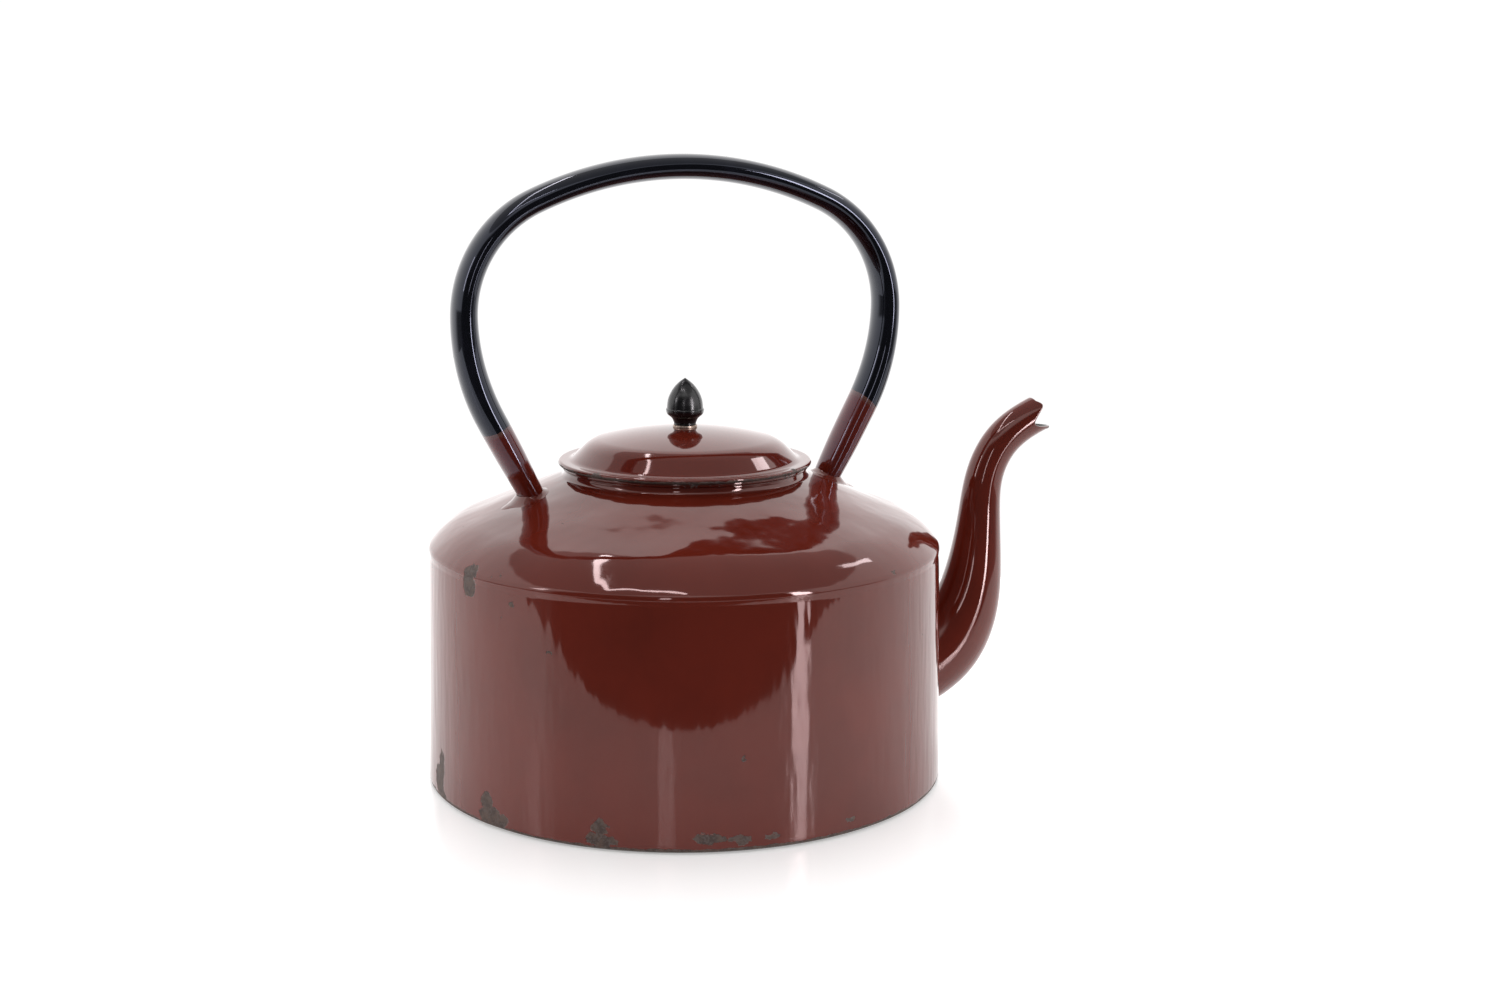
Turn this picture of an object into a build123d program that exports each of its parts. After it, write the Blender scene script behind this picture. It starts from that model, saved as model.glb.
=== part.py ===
"""Enamelled sheet-steel water kettle: drum body, swan-neck spout, fixed hoop handle, lift-off lid.

Frame: origin at the centre of the base, +Z up, spout towards +X, handle hoop in the XZ plane.
All sizes are millimetres.
"""
import os
from math import cos, radians, sin, tan

from build123d import *

# ---- driving dimensions -------------------------------------------------------------------------
SHEET = 1.2                   # steel sheet with enamel on both faces
BASE_RADIUS = 122.0           # drum, at the foot
SHOULDER_RADIUS = 120.0       # drum, at the shoulder edge
SHOULDER_HEIGHT = 110.8       # where the drum wall ends and the shoulder begins
NECK_RADIUS = 57.0            # outside of the neck
NECK_TOP = 147.15             # top edge of the neck, under the collar's bead
LID_RADIUS = 59.4             # outside of the lid's rolled edge
LID_CROWN = 166.2             # top of the lid's dome
LID_SEAT = 150.2              # underside of the lid's flange
KNOB_TIP = 189.2
HANDLE_TOP = 286.7            # centreline of the handle tube at its highest
HANDLE_OFFSET = -1.5          # the hoop stands a little behind the drum's axis
HANDLE_HALF_THICKNESS = 6.4   # flattened tube, in the plane of the hoop
HANDLE_HALF_WIDTH = 10.4      # flattened tube, across the hoop

# ---- derived sizes ------------------------------------------------------------------------------
WALL_TAPER = (BASE_RADIUS - SHOULDER_RADIUS) / (SHOULDER_HEIGHT + 4.2)
PAN_CORNER = 2.5              # bend between the base and its upturned flange
PAN_FLANGE_HEIGHT = 10.0
WALL_FOOT = 2.0               # lower edge of the drum wall, above the floor
EDGE_BEND = 4.0               # outside radius of the shoulder edge
EDGE_SLOPE = 52.0             # slope just inside the edge, in degrees
CROWN_BEND = 42.0             # the shoulder flattens along this arc
CONE_SLOPE = 22.0             # slope of the straight part up to the neck
THROAT_BEND = 2.5             # concave bend from the shoulder up into the neck
BEAD_RADIUS = 1.35            # rolled bead on the neck collar
LID_BEAD_RADIUS = 1.1         # rolled edge of the lid
LID_SHEET = 1.1
COLLAR_RADIUS = NECK_RADIUS - SHEET
SKIRT_RADIUS = 54.2           # locating ring under the lid, 0.6 clear of the collar
FOOT_PLATE = 1.4              # thickness of the handle's foot plates
SCREW_RADIUS = 1.95           # 4 mm screw


def wall_radius(height):
    """Outside radius of the drum wall at a height: a slight cone."""
    return BASE_RADIUS - WALL_TAPER * height


def bend(start, from_slope, to_slope, radius):
    """Arc running inwards and upwards, tangent to both slopes in degrees; returns its end."""
    first = radians(from_slope)
    last = radians(to_slope)
    middle = (first + last) / 2

    def at(angle):
        return (
            start[0] - radius * abs(sin(first) - sin(angle)),
            start[1] + radius * abs(cos(first) - cos(angle)),
        )

    ThreePointArc(start, at(middle), at(last))
    return at(last)


def shoulder_outline(lift=0.0):
    """Outside of the shoulder, from the drum's edge in to the neck, raised by lift."""
    edge = (wall_radius(SHOULDER_HEIGHT), SHOULDER_HEIGHT + lift)
    edge_end = bend(edge, 90.0, EDGE_SLOPE, EDGE_BEND)
    crown_end = bend(edge_end, EDGE_SLOPE, CONE_SLOPE, CROWN_BEND)
    throat_start_radius = NECK_RADIUS + THROAT_BEND * (1 - sin(radians(CONE_SLOPE)))
    throat_start = (
        throat_start_radius,
        crown_end[1] + (crown_end[0] - throat_start_radius) * tan(radians(CONE_SLOPE)),
    )
    Line(crown_end, throat_start)
    throat_end = bend(throat_start, CONE_SLOPE, 90.0, THROAT_BEND)
    Line(throat_end, (NECK_RADIUS, NECK_TOP + lift))


os.makedirs("parts", exist_ok=True)

# ---- spout: swan neck of round section, wider and taller at its root ------------------------------
# Each station: centre x, centre z, half height in the plane of the bend, half width across it.
SPOUT_STATIONS = (
    (104.0, 33.0, 20.5, 18.5),
    (118.0, 39.0, 20.3, 18.3),
    (135.0, 49.5, 19.6, 17.8),
    (147.0, 68.0, 16.9, 15.8),
    (152.2, 92.0, 13.2, 13.0),
    (153.9, 115.0, 10.5, 10.5),
    (156.7, 136.0, 9.2, 9.2),
    (165.6, 151.9, 9.0, 9.0),
    (185.5, 164.6, 9.0, 8.9),
    (198.0, 169.6, 9.0, 8.8),
)
with BuildLine(Plane.XZ) as spout_path:
    Spline(*[(x, z) for x, z, _, _ in SPOUT_STATIONS])


def spout_planes():
    """A plane square to the spout's centreline at every station, its x axis across the bend."""
    path = spout_path.edges()[0]
    planes = []
    for x, z, _, _ in SPOUT_STATIONS:
        along = path.tangent_at(path.param_at_point(Vector(x, 0, z)))
        planes.append(Plane(origin=(x, 0, z), x_dir=(0, 1, 0), z_dir=along))
    return planes


with BuildPart() as spout_outside:
    for plane, (_, _, half_height, half_width) in zip(spout_planes(), SPOUT_STATIONS):
        with BuildSketch(plane):
            Ellipse(half_width, half_height)
    loft()

with BuildPart() as spout_bore:
    for plane, (_, _, half_height, half_width) in zip(spout_planes(), SPOUT_STATIONS):
        with BuildSketch(plane):
            Ellipse(half_width - SHEET, half_height - SHEET)
    loft()

with BuildPart() as drum_envelope:
    with BuildSketch(Plane.XZ):
        with BuildLine():
            Polyline(
                (0, 0),
                (wall_radius(0), 0),
                (wall_radius(SHOULDER_HEIGHT), SHOULDER_HEIGHT),
                (0, SHOULDER_HEIGHT),
                close=True,
            )
        make_face()
    revolve(axis=Axis.Z)

# Side view of the mouth: a drooping beak above, a side notch, and a longer lip below.
with BuildPart() as mouth_cut:
    with BuildSketch(Plane.XZ) as mouth_outline:
        with BuildLine():
            Spline((180.0, 180.0), (183.4, 172.8), (184.2, 169.8), (182.0, 165.6), (178.6, 162.2))
            Spline((178.6, 162.2), (180.4, 159.4), (185.4, 157.8), (194.0, 157.0))
            Polyline((194.0, 157.0), (197.0, 148.0), (215.0, 148.0), (215.0, 190.0), (180.0, 190.0))
            Line((180.0, 190.0), (180.0, 180.0))
        make_face()
    extrude(amount=30.0, both=True)

spout_shell = (
    spout_outside.part - spout_bore.part - drum_envelope.part - mouth_cut.part
)

with BuildPart() as spout_left_half:
    add(spout_shell)
    split(bisect_by=Plane.XZ, keep=Keep.BOTTOM)
spout_left_half.part.label = "spout_left_half"
export_step(spout_left_half.part, "parts/spout_left_half.step")

with BuildPart() as spout_right_half:
    add(spout_shell)
    split(bisect_by=Plane.XZ, keep=Keep.TOP)
spout_right_half.part.label = "spout_right_half"
export_step(spout_right_half.part, "parts/spout_right_half.step")

# ---- drum: wall with the spout's hole, and a pan-shaped base set inside it -----------------------
with BuildPart() as body_wall:
    with BuildSketch(Plane.XZ):
        with BuildLine():
            Polyline(
                (wall_radius(WALL_FOOT), WALL_FOOT),
                (wall_radius(SHOULDER_HEIGHT), SHOULDER_HEIGHT),
                (wall_radius(SHOULDER_HEIGHT) - SHEET, SHOULDER_HEIGHT),
                (wall_radius(WALL_FOOT) - SHEET, WALL_FOOT),
                close=True,
            )
        make_face()
    revolve(axis=Axis.Z)
    add(spout_bore.part, mode=Mode.SUBTRACT)
body_wall.part.label = "body_wall"
export_step(body_wall.part, "parts/body_wall.step")

PAN_OUTER = wall_radius(0) - SHEET - 0.05
with BuildPart() as base_plate:
    with BuildSketch(Plane.XZ):
        with BuildLine():
            Line((0, 0), (PAN_OUTER - PAN_CORNER, 0))
            RadiusArc(
                (PAN_OUTER - PAN_CORNER, 0),
                (PAN_OUTER, PAN_CORNER),
                -PAN_CORNER,
            )
            Polyline(
                (PAN_OUTER, PAN_CORNER),
                (wall_radius(PAN_FLANGE_HEIGHT) - SHEET - 0.05, PAN_FLANGE_HEIGHT),
                (wall_radius(PAN_FLANGE_HEIGHT) - 2 * SHEET, PAN_FLANGE_HEIGHT),
                (PAN_OUTER - SHEET, PAN_CORNER),
            )
            RadiusArc(
                (PAN_OUTER - SHEET, PAN_CORNER),
                (PAN_OUTER - PAN_CORNER, SHEET),
                PAN_CORNER - SHEET,
            )
            Polyline((PAN_OUTER - PAN_CORNER, SHEET), (0, SHEET), (0, 0))
        make_face()
    revolve(axis=Axis.Z)
base_plate.part.label = "base_plate"
export_step(base_plate.part, "parts/base_plate.step")

# ---- shoulder: convex at the edge, nearly straight, then turned up into the throat ----------------
with BuildPart() as shoulder_dome:
    with BuildSketch(Plane.XZ):
        with BuildLine():
            shoulder_outline()
            offset(amount=SHEET, side=Side.LEFT)
        make_face()
    revolve(axis=Axis.Z)
shoulder_dome.part.label = "shoulder_dome"
export_step(shoulder_dome.part, "parts/shoulder_dome.step")

# ---- neck collar: a lining tube with a rolled bead that the lid rests on ---------------------------
COLLAR_FOOT = 139.0
COLLAR_TOP = 149.3            # where the lining tube rolls over into the bead
COLLAR_SHEET = 1.0
GAP = 0.05                    # between neighbouring pieces of the neck
with BuildPart() as neck_collar:
    with BuildSketch(Plane.XZ):
        with Locations((COLLAR_RADIUS - GAP - COLLAR_SHEET / 2, (COLLAR_FOOT + COLLAR_TOP) / 2)):
            Rectangle(COLLAR_SHEET, COLLAR_TOP - COLLAR_FOOT)
        with Locations((COLLAR_RADIUS + 0.8, NECK_TOP + GAP + BEAD_RADIUS)):
            Circle(BEAD_RADIUS)
    revolve(axis=Axis.Z)
neck_collar.part.label = "neck_collar"
export_step(neck_collar.part, "parts/neck_collar.step")

# ---- handle: one flattened tube bent to a hoop of tangent arcs, its legs leaning in ----------------
TOP_BEND = 167.0              # flat arc over the top
TOP_TURN = 24.6               # degrees, each side
CORNER_BEND = 56.4            # down to the widest place
SIDE_BEND = 101.8             # in again towards the legs
LEG_LEAN = 27.5               # degrees from upright
LEG_LENGTH = 44.0             # straight end of each leg, trimmed to the foot plate
LEG_FOOT_SCALE = 0.9          # the tube is drawn in a little towards its feet


def hoop_half(side):
    """Centreline of half the hoop, from its top down one leg; side is +1 or -1."""
    crown = radians(TOP_TURN)
    lean = radians(LEG_LEAN)
    crown_end = (TOP_BEND * sin(crown), HANDLE_TOP - TOP_BEND * (1 - cos(crown)))
    widest = (
        crown_end[0] + CORNER_BEND * (1 - sin(crown)),
        crown_end[1] - CORNER_BEND * cos(crown),
    )
    leg_start = (
        widest[0] - SIDE_BEND * (1 - cos(lean)),
        widest[1] - SIDE_BEND * sin(lean),
    )
    leg_end = (leg_start[0] - LEG_LENGTH * sin(lean), leg_start[1] - LEG_LENGTH * cos(lean))
    points = [(0.0, HANDLE_TOP), crown_end, widest, leg_start, leg_end]
    placed = [(HANDLE_OFFSET + side * x, z) for x, z in points]
    RadiusArc(placed[0], placed[1], side * TOP_BEND)
    RadiusArc(placed[1], placed[2], side * CORNER_BEND)
    RadiusArc(placed[2], placed[3], side * SIDE_BEND)
    return placed[3], placed[4]


with BuildLine(Plane.XZ) as hoop:
    rear_leg = hoop_half(-1)
    front_leg = hoop_half(1)


def leg_plane(leg, end):
    """Plane square to a leg at its start (0) or its foot (1)."""
    start, foot = leg
    along = Vector(foot[0] - start[0], 0, foot[1] - start[1])
    origin = (leg[end][0], 0, leg[end][1])
    return Plane(origin=origin, x_dir=(0, 1, 0), z_dir=along)


def leg_solid(leg, shrink):
    """Straight leg of the tube, or its bore when shrink is the sheet's thickness."""
    with BuildPart(mode=Mode.PRIVATE) as solid:
        for end, scale in ((0, 1.0), (1, LEG_FOOT_SCALE)):
            with BuildSketch(leg_plane(leg, end)):
                Ellipse(HANDLE_HALF_WIDTH * scale - shrink, HANDLE_HALF_THICKNESS * scale - shrink)
        loft()
    return solid.part


# Everything under the foot plates' top face, which trims the legs.
with BuildPart() as foot_trim:
    with BuildSketch(Plane.XZ):
        with BuildLine():
            shoulder_outline(lift=FOOT_PLATE)
            Polyline(
                (NECK_RADIUS, NECK_TOP + FOOT_PLATE),
                (0, NECK_TOP + FOOT_PLATE),
                (0, 60.0),
                (wall_radius(SHOULDER_HEIGHT), 60.0),
                (wall_radius(SHOULDER_HEIGHT), SHOULDER_HEIGHT + FOOT_PLATE),
            )
        make_face()
    revolve(axis=Axis.Z)

hoop_wire = Wire(hoop.edges().sort_by(Axis.X))
hoop_start = Plane(origin=hoop_wire @ 0, x_dir=(0, 1, 0), z_dir=hoop_wire % 0)
legs = [leg_solid(leg, 0.0) - leg_solid(leg, SHEET) for leg in (rear_leg, front_leg)]
with BuildPart() as handle_tube:
    with BuildSketch(hoop_start):
        Ellipse(HANDLE_HALF_WIDTH, HANDLE_HALF_THICKNESS)
        Ellipse(HANDLE_HALF_WIDTH - SHEET, HANDLE_HALF_THICKNESS - SHEET, mode=Mode.SUBTRACT)
    sweep(path=hoop_wire)
    add(legs)
    add(foot_trim.part, mode=Mode.SUBTRACT)
handle_tube.part.label = "handle_tube"
export_step(handle_tube.part, "parts/handle_tube.step")


# ---- foot plates: thin ovals shaped to the shoulder, each with a narrow tongue pointing outwards ---
def foot_plate_outline(side):
    """Plan view of one plate: an oval under the leg, and the pointed tongue."""
    centre = HANDLE_OFFSET + side * FOOT_CENTRE
    with Locations((centre, 0)):
        Ellipse(FOOT_HALF_LENGTH, FOOT_HALF_WIDTH)
    tip = centre + side * TONGUE_REACH
    Polygon(
        (centre, -TONGUE_ROOT),
        (centre, TONGUE_ROOT),
        (tip, TONGUE_TIP),
        (tip, -TONGUE_TIP),
        align=None,
    )


FOOT_CENTRE = 74.3
FOOT_HALF_LENGTH = 9.2
FOOT_HALF_WIDTH = 12.6
TONGUE_REACH = 14.0           # from the plate's centre to the tongue's tip
TONGUE_ROOT = 8.0             # half width at the plate
TONGUE_TIP = 2.2              # half width at the tip

with BuildPart() as under_plates:
    with BuildSketch(Plane.XZ):
        with BuildLine():
            shoulder_outline()
            Polyline(
                (NECK_RADIUS, NECK_TOP),
                (0, NECK_TOP),
                (0, 60.0),
                (wall_radius(SHOULDER_HEIGHT), 60.0),
                (wall_radius(SHOULDER_HEIGHT), SHOULDER_HEIGHT),
            )
        make_face()
    revolve(axis=Axis.Z)

for node, side in (("handle_foot_front", 1), ("handle_foot_rear", -1)):
    with BuildPart() as handle_foot:
        with BuildSketch(Plane.XY.offset(100.0)):
            foot_plate_outline(side)
        extrude(amount=60.0)
        add(foot_trim.part, mode=Mode.INTERSECT)
        add(under_plates.part, mode=Mode.SUBTRACT)
    handle_foot.part.label = node
    export_step(handle_foot.part, f"parts/{node}.step")

# ---- lid: pressed shell with a flat flange and rolled edge, and a locating ring below --------------
FLANGE_TOP = LID_SEAT + LID_SHEET
FLANGE_INNER = 55.2           # where the flange turns up into the dome
LID_ROOT_BEND = 4.0
LID_SIDE_SLOPE = 45.0
LID_SHOULDER_BEND = 16.0
LID_CROWN_SLOPE = 14.0        # slope where the flat crown arc begins


def lid_outline():
    """Top face of the lid, from the rolled edge in to the axis."""
    flange_end = (FLANGE_INNER, FLANGE_TOP)
    Line((LID_RADIUS - LID_BEAD_RADIUS, FLANGE_TOP), flange_end)
    side_start = bend(flange_end, 0.0, LID_SIDE_SLOPE, LID_ROOT_BEND)
    side = radians(LID_SIDE_SLOPE)
    crown = radians(LID_CROWN_SLOPE)
    # The straight side is as long as it has to be for the crown to reach its height.
    rise = LID_CROWN - side_start[1] - LID_SHOULDER_BEND * (cos(crown) - cos(side))
    run = side_start[0] - LID_SHOULDER_BEND * (sin(side) - sin(crown))
    half_turn = tan(crown / 2)
    side_rise = (rise - run * half_turn) / (1 - half_turn / tan(side))
    side_end = (side_start[0] - side_rise / tan(side), side_start[1] + side_rise)
    Line(side_start, side_end)
    shoulder_end = bend(side_end, LID_SIDE_SLOPE, LID_CROWN_SLOPE, LID_SHOULDER_BEND)
    bend(shoulder_end, LID_CROWN_SLOPE, 0.0, shoulder_end[0] / sin(crown))


with BuildPart() as lid_shell:
    with BuildSketch(Plane.XZ):
        with BuildLine():
            lid_outline()
            offset(amount=LID_SHEET, side=Side.LEFT)
        make_face()
        with Locations((LID_RADIUS - LID_BEAD_RADIUS, FLANGE_TOP - 0.75)):
            Circle(LID_BEAD_RADIUS)
    revolve(axis=Axis.Z)
    with Locations((0, 0, LID_CROWN)):
        Hole(SCREW_RADIUS + 0.25, depth=10.0)
lid_shell.part.label = "lid_shell"
export_step(lid_shell.part, "parts/lid_shell.step")

SKIRT_FOOT = 139.5
with BuildPart() as lid_skirt:
    with BuildSketch(Plane.XY.offset(SKIRT_FOOT)):
        Circle(SKIRT_RADIUS)
        Circle(SKIRT_RADIUS - 1.0, mode=Mode.SUBTRACT)
    extrude(amount=LID_SEAT - SKIRT_FOOT)
    with BuildSketch(Plane.XY.offset(SKIRT_FOOT)):
        Circle(SKIRT_RADIUS)
        Circle(SKIRT_RADIUS - 1.8, mode=Mode.SUBTRACT)
    extrude(amount=0.8)
lid_skirt.part.label = "lid_skirt"
export_step(lid_skirt.part, "parts/lid_skirt.step")

# ---- knob: turned acorn on a pale ferrule, held by a screw and washer from inside the lid ----------
FERRULE = 1.0
KNOB_FOOT = LID_CROWN + FERRULE
KNOB_RADIUS = 8.9
KNOB_RIDGE = 174.6            # height of the acorn's ridge
with BuildPart() as knob:
    with BuildSketch(Plane.XZ):
        with BuildLine():
            Polyline((0, KNOB_TIP), (0, KNOB_FOOT), (5.3, KNOB_FOOT), (5.2, KNOB_FOOT + 1.0))
            Spline(
                (5.2, KNOB_FOOT + 1.0),
                (6.4, 170.6),
                (8.4, 172.4),
                (KNOB_RADIUS, KNOB_RIDGE),
            )
            Line((KNOB_RADIUS, KNOB_RIDGE), (KNOB_RADIUS - 0.45, KNOB_RIDGE + 0.35))
            Spline(
                (KNOB_RADIUS - 0.45, KNOB_RIDGE + 0.35),
                (8.1, 178.6),
                (6.1, 183.4),
                (2.3, 187.3),
                (0.0, KNOB_TIP),
            )
        make_face()
    revolve(axis=Axis.Z)
    with BuildSketch(Plane.XY.offset(KNOB_FOOT)):
        Circle(SCREW_RADIUS + 0.05)
    extrude(amount=11.0, mode=Mode.SUBTRACT)
knob.part.label = "knob"
export_step(knob.part, "parts/knob.step")

with BuildPart() as knob_ferrule:
    with BuildSketch(Plane.XY.offset(LID_CROWN)):
        Circle(5.7)
        Circle(SCREW_RADIUS + 0.25, mode=Mode.SUBTRACT)
    extrude(amount=FERRULE)
    fillet(knob_ferrule.edges().group_by(Axis.Z)[-1].sort_by(SortBy.LENGTH)[-1], 0.4)
knob_ferrule.part.label = "knob_ferrule"
export_step(knob_ferrule.part, "parts/knob_ferrule.step")

WASHER_THICKNESS = 0.8
WASHER_TOP = LID_CROWN - LID_SHEET - 0.1    # the crown falls 0.08 over the washer
with BuildPart() as screw_washer:
    with BuildSketch(Plane.XY.offset(WASHER_TOP - WASHER_THICKNESS)):
        Circle(5.0)
        Circle(SCREW_RADIUS + 0.25, mode=Mode.SUBTRACT)
    extrude(amount=WASHER_THICKNESS)
screw_washer.part.label = "screw_washer"
export_step(screw_washer.part, "parts/screw_washer.step")

HEAD_TOP = WASHER_TOP - WASHER_THICKNESS
HEAD_HEIGHT = 2.4
with BuildPart() as knob_screw:
    with BuildSketch(Plane.XY.offset(HEAD_TOP - HEAD_HEIGHT)):
        Circle(3.6)
    extrude(amount=HEAD_HEIGHT)
    fillet(knob_screw.edges().group_by(Axis.Z)[0], 1.0)
    with BuildSketch(Plane.XY.offset(HEAD_TOP)):
        Circle(SCREW_RADIUS)
    extrude(amount=KNOB_FOOT + 10.0 - HEAD_TOP)
    with BuildSketch(Plane.XY.offset(HEAD_TOP - HEAD_HEIGHT)):
        Rectangle(8.0, 1.0)
    extrude(amount=1.1, mode=Mode.SUBTRACT)
knob_screw.part.label = "knob_screw"
export_step(knob_screw.part, "parts/knob_screw.step")
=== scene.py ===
"""Enamel kettle with a swan-neck spout, a hoop handle and a lift-off lid: its finished look, round the frame.

Sizes are millimetres, and put_together turns them into metres.
Outlines of revolution are rows of (radius, height).
"""

from math import cos, degrees, pi, radians, sin, tan

import bmesh
import bpy
import numpy as np
from mathutils import Matrix, Vector


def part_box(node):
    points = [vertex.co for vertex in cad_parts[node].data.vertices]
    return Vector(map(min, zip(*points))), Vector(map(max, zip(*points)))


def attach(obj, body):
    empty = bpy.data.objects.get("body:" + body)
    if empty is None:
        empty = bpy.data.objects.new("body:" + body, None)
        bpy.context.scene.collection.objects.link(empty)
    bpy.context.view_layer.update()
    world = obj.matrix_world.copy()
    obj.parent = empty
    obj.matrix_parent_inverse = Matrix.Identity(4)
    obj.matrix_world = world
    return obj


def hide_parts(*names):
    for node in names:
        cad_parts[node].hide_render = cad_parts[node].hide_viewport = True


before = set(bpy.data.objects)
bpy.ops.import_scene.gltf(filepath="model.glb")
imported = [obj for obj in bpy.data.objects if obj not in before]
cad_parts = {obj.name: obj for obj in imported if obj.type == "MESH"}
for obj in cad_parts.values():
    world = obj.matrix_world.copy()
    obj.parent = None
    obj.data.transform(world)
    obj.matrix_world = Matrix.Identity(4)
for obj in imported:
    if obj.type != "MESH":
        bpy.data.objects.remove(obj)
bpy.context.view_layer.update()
MM = 0.001

# ------------------------------------------------------------------
# Drum wall. A strip of sheet steel rolled into a drum a little wider at its foot, with the spout's hole in
# its side. It is dipped in a grey ground coat and fired again with a red-brown gloss enamel outside, which
# has chipped along the foot where the kettle was set down on the stove.
# ------------------------------------------------------------------
SHEET = 1.2


def box_of(node):
    """The low and high corners of a node's box in the frame, in millimetres."""
    low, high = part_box(node)
    return np.array(low) / MM, np.array(high) / MM


wall_low, wall_high = box_of("body_wall")
DRUM_FOOT, DRUM_TOP = wall_low[2], wall_high[2]
DRUM_TAPER = 2 / 115
DRUM_TURNS = 384
DRUM_ROWS = 84
CREASE = radians(40)           # a sharper fold than this shows as an edge


def drum_radius(height):
    """Radius of a straight cone: the foot's radius less the taper times the height above the foot."""
    return wall_high[0] - DRUM_TAPER * (height - DRUM_FOOT)


def thickened(outline, thickness):
    """Closes an outline into a sheet: the outline, a half circle round its end, the outline moved sideways
    by the thickness along its own normal, and a half circle back to its start."""
    along = np.gradient(outline, axis=0)
    along /= np.linalg.norm(along, axis=1)[:, None]
    inward = np.stack([-along[:, 1], along[:, 0]], axis=1)
    turn = np.linspace(-pi / 2, pi / 2, 7)[1:-1, None]

    def cap(at, way):
        middle = outline[at] + inward[at] * thickness / 2
        return middle + thickness / 2 * (way * np.sin(turn) * inward[at] + way * np.cos(turn) * along[at])

    inner = outline + inward * thickness
    return np.vstack([outline, cap(-1, 1), inner[::-1], cap(0, -1)])


def turned(outline, turns):
    """Carries an outline round the Z axis: x = r cos a, y = r sin a, z = h, one row of the grid for each
    angle a."""
    angle = np.linspace(0, 2 * pi, turns, endpoint=False)[:, None]
    radius, height = outline[:, 0], outline[:, 1]
    return np.stack([radius * np.cos(angle), radius * np.sin(angle), height + 0 * angle], axis=-1)


def rippled(grid, depth, around, wavelength):
    """Beats a turned grid slightly out of round: each point moves inwards along its radius by half the
    depth times one less the mean of sines of whole numbers of waves round the axis, each drifting with the
    height."""
    angle = np.arctan2(grid[..., 1], grid[..., 0])
    height = grid[..., 2]
    waves = [np.sin(n * angle + 2 * pi * height / wavelength + 1.7 * i) for i, n in enumerate(around)]
    radius = np.maximum(np.hypot(grid[..., 0], grid[..., 1]), 1.0)
    push = 1 - depth / 2 * (1 - np.mean(waves, axis=0)) / radius
    return np.stack([grid[..., 0] * push, grid[..., 1] * push, height], axis=-1)


def inner_face(outline):
    """The columns of a thickened outline that face inwards: from the middle of its first rounded end to the
    start of the last."""
    return len(outline) + 2, 2 * len(outline) + 4


def put_together(name, grid, materials, inside=None):
    """Makes an object of a grid of points: each cell is a four-sided face, rows and columns join up again,
    and points that fall together, as at a pole, become one. The columns of inside take the second
    material."""
    rows, columns = grid.shape[:2]
    index = np.arange(rows * columns).reshape(rows, columns)
    index = np.pad(index, ((0, 1), (0, 1)), mode="wrap")
    quads = np.stack([index[:-1, :-1], index[1:, :-1], index[1:, 1:], index[:-1, 1:]], axis=-1)
    mesh = bpy.data.meshes.new(name)
    mesh.from_pydata((grid * MM).reshape(-1, 3), [], quads.reshape(-1, 4))
    if inside is not None:
        lined = np.zeros(quads.shape[:2], np.int32)
        lined[:, inside[0]:inside[1]] = 1
        mesh.polygons.foreach_set("material_index", lined.ravel())
    work = bmesh.new()
    work.from_mesh(mesh)
    bmesh.ops.remove_doubles(work, verts=work.verts, dist=1e-7)
    bmesh.ops.recalc_face_normals(work, faces=work.faces)
    work.to_mesh(mesh)
    work.free()
    for material in materials:
        mesh.materials.append(material)
    mesh.shade_smooth()
    mesh.set_sharp_from_angle(angle=CREASE)
    made = bpy.data.objects.new(name, mesh)
    bpy.context.scene.collection.objects.link(made)
    return made


def fitted(piece, body, slot, *nodes):
    """The piece rides on its body and stands for these nodes, which it hides. The slot is not used."""
    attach(piece, body)
    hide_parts(*nodes)
    return piece


def linear(colour):
    """An sRGB hex colour as the linear colour that a shader takes."""
    srgb = np.array([int(colour[i:i + 2], 16) for i in (1, 3, 5)]) / 255
    rgb = np.where(srgb <= 0.04045, srgb / 12.92, ((srgb + 0.055) / 1.055) ** 2.4)
    return (*rgb.tolist(), 1.0)


def add(tree, kind, inputs=None, **settings):
    """Adds a node: settings are its own properties, and inputs gives each socket a value or the one that
    feeds it."""
    node = tree.nodes.new("ShaderNode" + kind)
    for name, value in settings.items():
        setattr(node, name, value)
    for socket, value in (inputs or {}).items():
        if isinstance(value, bpy.types.NodeSocket):
            tree.links.new(value, node.inputs[socket])
        else:
            node.inputs[socket].default_value = value
    return node


def maths(tree, operation, *values):
    """The result of one sum on values or sockets."""
    return add(tree, "Math", dict(enumerate(values)), operation=operation).outputs[0]


def vector_maths(tree, operation, *values):
    """The result of one sum on vectors: a number where it is a length or a dot product, and a vector
    otherwise."""
    output = "Value" if operation in ("LENGTH", "DOT_PRODUCT") else "Vector"
    return add(tree, "VectorMath", dict(enumerate(values)), operation=operation).outputs[output]


def new_material(name):
    """An empty material's node tree, its shader and the Object coordinates that all patterns read."""
    material = bpy.data.materials.new(name)
    material.use_nodes = True
    tree = material.node_tree
    return material, tree, tree.nodes["Principled BSDF"], add(tree, "TexCoord").outputs["Object"]


def mixed(tree, share, first, second):
    """Mixes two colours, each a socket or a hex string, by a share from 0 to 1."""
    ends = [end if isinstance(end, bpy.types.NodeSocket) else linear(end) for end in (first, second)]
    return add(tree, "Mix", {"Factor": share, 6: ends[0], 7: ends[1]}, data_type="RGBA").outputs[2]


def noise(tree, place, size, detail=2.0, roughness=0.5, output=0):
    """Noise whose patches are about size millimetres across."""
    scale = {"Vector": place, "Scale": 1 / (size * MM), "Detail": detail, "Roughness": roughness}
    return add(tree, "TexNoise", scale).outputs[output]


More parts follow.
